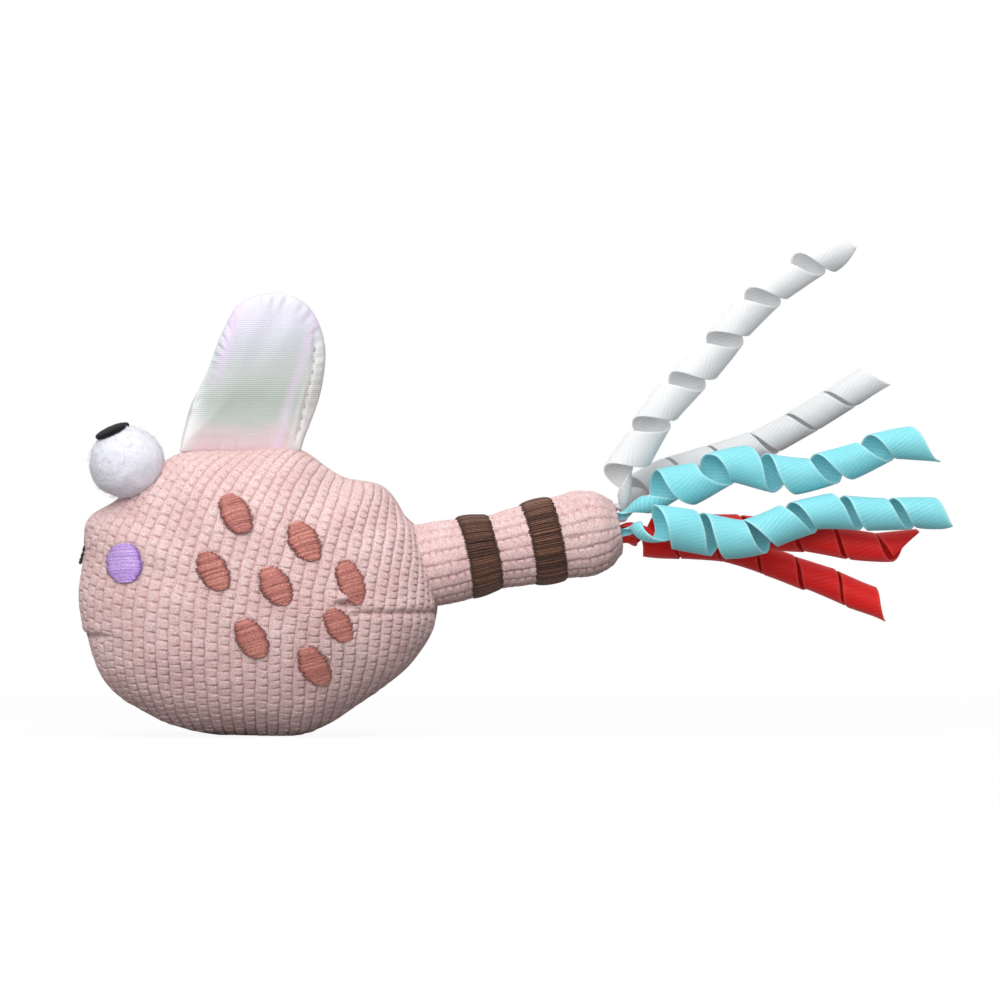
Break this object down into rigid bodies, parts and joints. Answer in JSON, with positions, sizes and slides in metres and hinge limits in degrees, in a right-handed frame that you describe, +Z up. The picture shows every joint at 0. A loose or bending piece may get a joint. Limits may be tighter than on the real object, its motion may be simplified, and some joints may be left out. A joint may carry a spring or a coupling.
{
  "type": "plush dog toy",
  "caption": "Stuffed bug toy with a round waffle-plush body, pompom eyes, two padded wings, a banded tail and curled ribbon streamers, for a dog to carry and shake.",
  "frame": {"origin": "middle of the flattened belly patch that the toy stands on", "axes": "+X towards the tail and the ribbons, the toy looks along -X; +Y is the toy's right side; +Z up"},
  "size_m": [0.2362, 0.0634, 0.1352],
  "materials": {
    "pink_waffle_plush": "short fuzzy pile in rows of raised waffle cells",
    "white_pile": "felted ball of fine fibres",
    "black_felt": "dense felt disc",
    "purple_thread": "glossy satin stitch",
    "dark_thread": "backstitched line",
    "rust_satin_stitch": "glossy satin stitch",
    "brown_satin_stitch": "glossy satin stitch",
    "iridescent_mesh": "fine woven mesh with a colour-shifting sheen",
    "fibre_fill": "loose white polyester fibre",
    "squeaker_plastic": "thin moulded plastic",
    "ribbon_white_grosgrain": "ribbed woven ribbon, heat-set curl",
    "ribbon_turquoise_grosgrain": "ribbed woven ribbon, heat-set curl",
    "ribbon_red_grosgrain": "ribbed woven ribbon, heat-set curl"
  },
  "bodies": {
    "body": {"body_panel_left": "pink_waffle_plush", "body_panel_right": "pink_waffle_plush", "body_center_seam": "pink_waffle_plush", "body_stuffing_left": "fibre_fill", "body_stuffing_right": "fibre_fill", "squeaker_bulb": "squeaker_plastic", "squeaker_reed": "squeaker_plastic", "eye_left": "white_pile", "eye_right": "white_pile", "pupil_left": "black_felt", "pupil_right": "black_felt", "cheek_left": "purple_thread", "cheek_right": "purple_thread", "mouth": "dark_thread", "spot_left_1": "rust_satin_stitch", "spot_left_2": "rust_satin_stitch", "spot_left_3": "rust_satin_stitch", "spot_left_4": "rust_satin_stitch", "spot_left_5": "rust_satin_stitch", "spot_left_6": "rust_satin_stitch", "spot_left_7": "rust_satin_stitch", "spot_left_8": "rust_satin_stitch", "spot_right_1": "rust_satin_stitch", "spot_right_2": "rust_satin_stitch", "spot_right_3": "rust_satin_stitch", "spot_right_4": "rust_satin_stitch", "spot_right_5": "rust_satin_stitch", "spot_right_6": "rust_satin_stitch", "spot_right_7": "rust_satin_stitch", "spot_right_8": "rust_satin_stitch"},
    "wing_left": {"wing_left_outer_panel": "iridescent_mesh", "wing_left_inner_panel": "iridescent_mesh", "wing_left_padding": "fibre_fill"},
    "wing_right": {"wing_right_outer_panel": "iridescent_mesh", "wing_right_inner_panel": "iridescent_mesh", "wing_right_padding": "fibre_fill"},
    "tail": {"tail_cover": "pink_waffle_plush", "tail_stuffing": "fibre_fill", "tail_band_1": "brown_satin_stitch", "tail_band_2": "brown_satin_stitch"},
    "ribbon_white_1": {"ribbon_white_1": "ribbon_white_grosgrain"},
    "ribbon_white_2": {"ribbon_white_2": "ribbon_white_grosgrain"},
    "ribbon_turquoise_1": {"ribbon_turquoise_1": "ribbon_turquoise_grosgrain"},
    "ribbon_turquoise_2": {"ribbon_turquoise_2": "ribbon_turquoise_grosgrain"},
    "ribbon_red_1": {"ribbon_red_1": "ribbon_red_grosgrain"},
    "ribbon_red_2": {"ribbon_red_2": "ribbon_red_grosgrain"}
  },
  "joints": [
    {"name": "wing_left_flap", "type": "hinge", "parent": "body", "child": "wing_left", "pos_m": [-0.00269, -0.004, 0.0777], "axis": [1, 0, 0], "range_deg": [-6, 45], "stiffness_Nm_per_rad": 0.02},
    {"name": "wing_right_flap", "type": "hinge", "parent": "body", "child": "wing_right", "pos_m": [-0.00269, 0.004, 0.0777], "axis": [-1, 0, 0], "range_deg": [-6, 45], "stiffness_Nm_per_rad": 0.02},
    {"name": "tail_lift", "type": "hinge", "parent": "body", "child": "tail", "pos_m": [0.0477, 0, 0.04573], "axis": [0, -1, 0], "range_deg": [-12, 12], "stiffness_Nm_per_rad": 0.6},
    {"name": "ribbon_white_1_lift", "type": "hinge", "parent": "tail", "child": "ribbon_white_1", "pos_m": [0.09841, 0.00583, 0.06166], "axis": [0, -1, 0], "range_deg": [-6, 18], "stiffness_Nm_per_rad": 0.03},
    {"name": "ribbon_white_2_sway", "type": "hinge", "parent": "tail", "child": "ribbon_white_2", "pos_m": [0.09846, 0.01124, 0.0582], "axis": [0, 0, 1], "range_deg": [-3, 18], "stiffness_Nm_per_rad": 0.03},
    {"name": "ribbon_turquoise_1_sway", "type": "hinge", "parent": "tail", "child": "ribbon_turquoise_1", "pos_m": [0.09911, 0.0037, 0.05954], "axis": [0, 0, -1], "range_deg": [-2, 18], "stiffness_Nm_per_rad": 0.03},
    {"name": "ribbon_turquoise_2_sway", "type": "hinge", "parent": "tail", "child": "ribbon_turquoise_2", "pos_m": [0.10014, 0.00309, 0.05488], "axis": [0, 0, -1], "range_deg": [0, 18], "stiffness_Nm_per_rad": 0.03},
    {"name": "ribbon_red_1_droop", "type": "hinge", "parent": "tail", "child": "ribbon_red_1", "pos_m": [0.09947, 0.00669, 0.056], "axis": [0, 1, 0], "range_deg": [-3, 10], "stiffness_Nm_per_rad": 0.03},
    {"name": "ribbon_red_2_droop", "type": "hinge", "parent": "tail", "child": "ribbon_red_2", "pos_m": [0.09999, 0.00932, 0.05187], "axis": [0, 1, 0], "range_deg": [-3, 18], "stiffness_Nm_per_rad": 0.03}
  ]
}
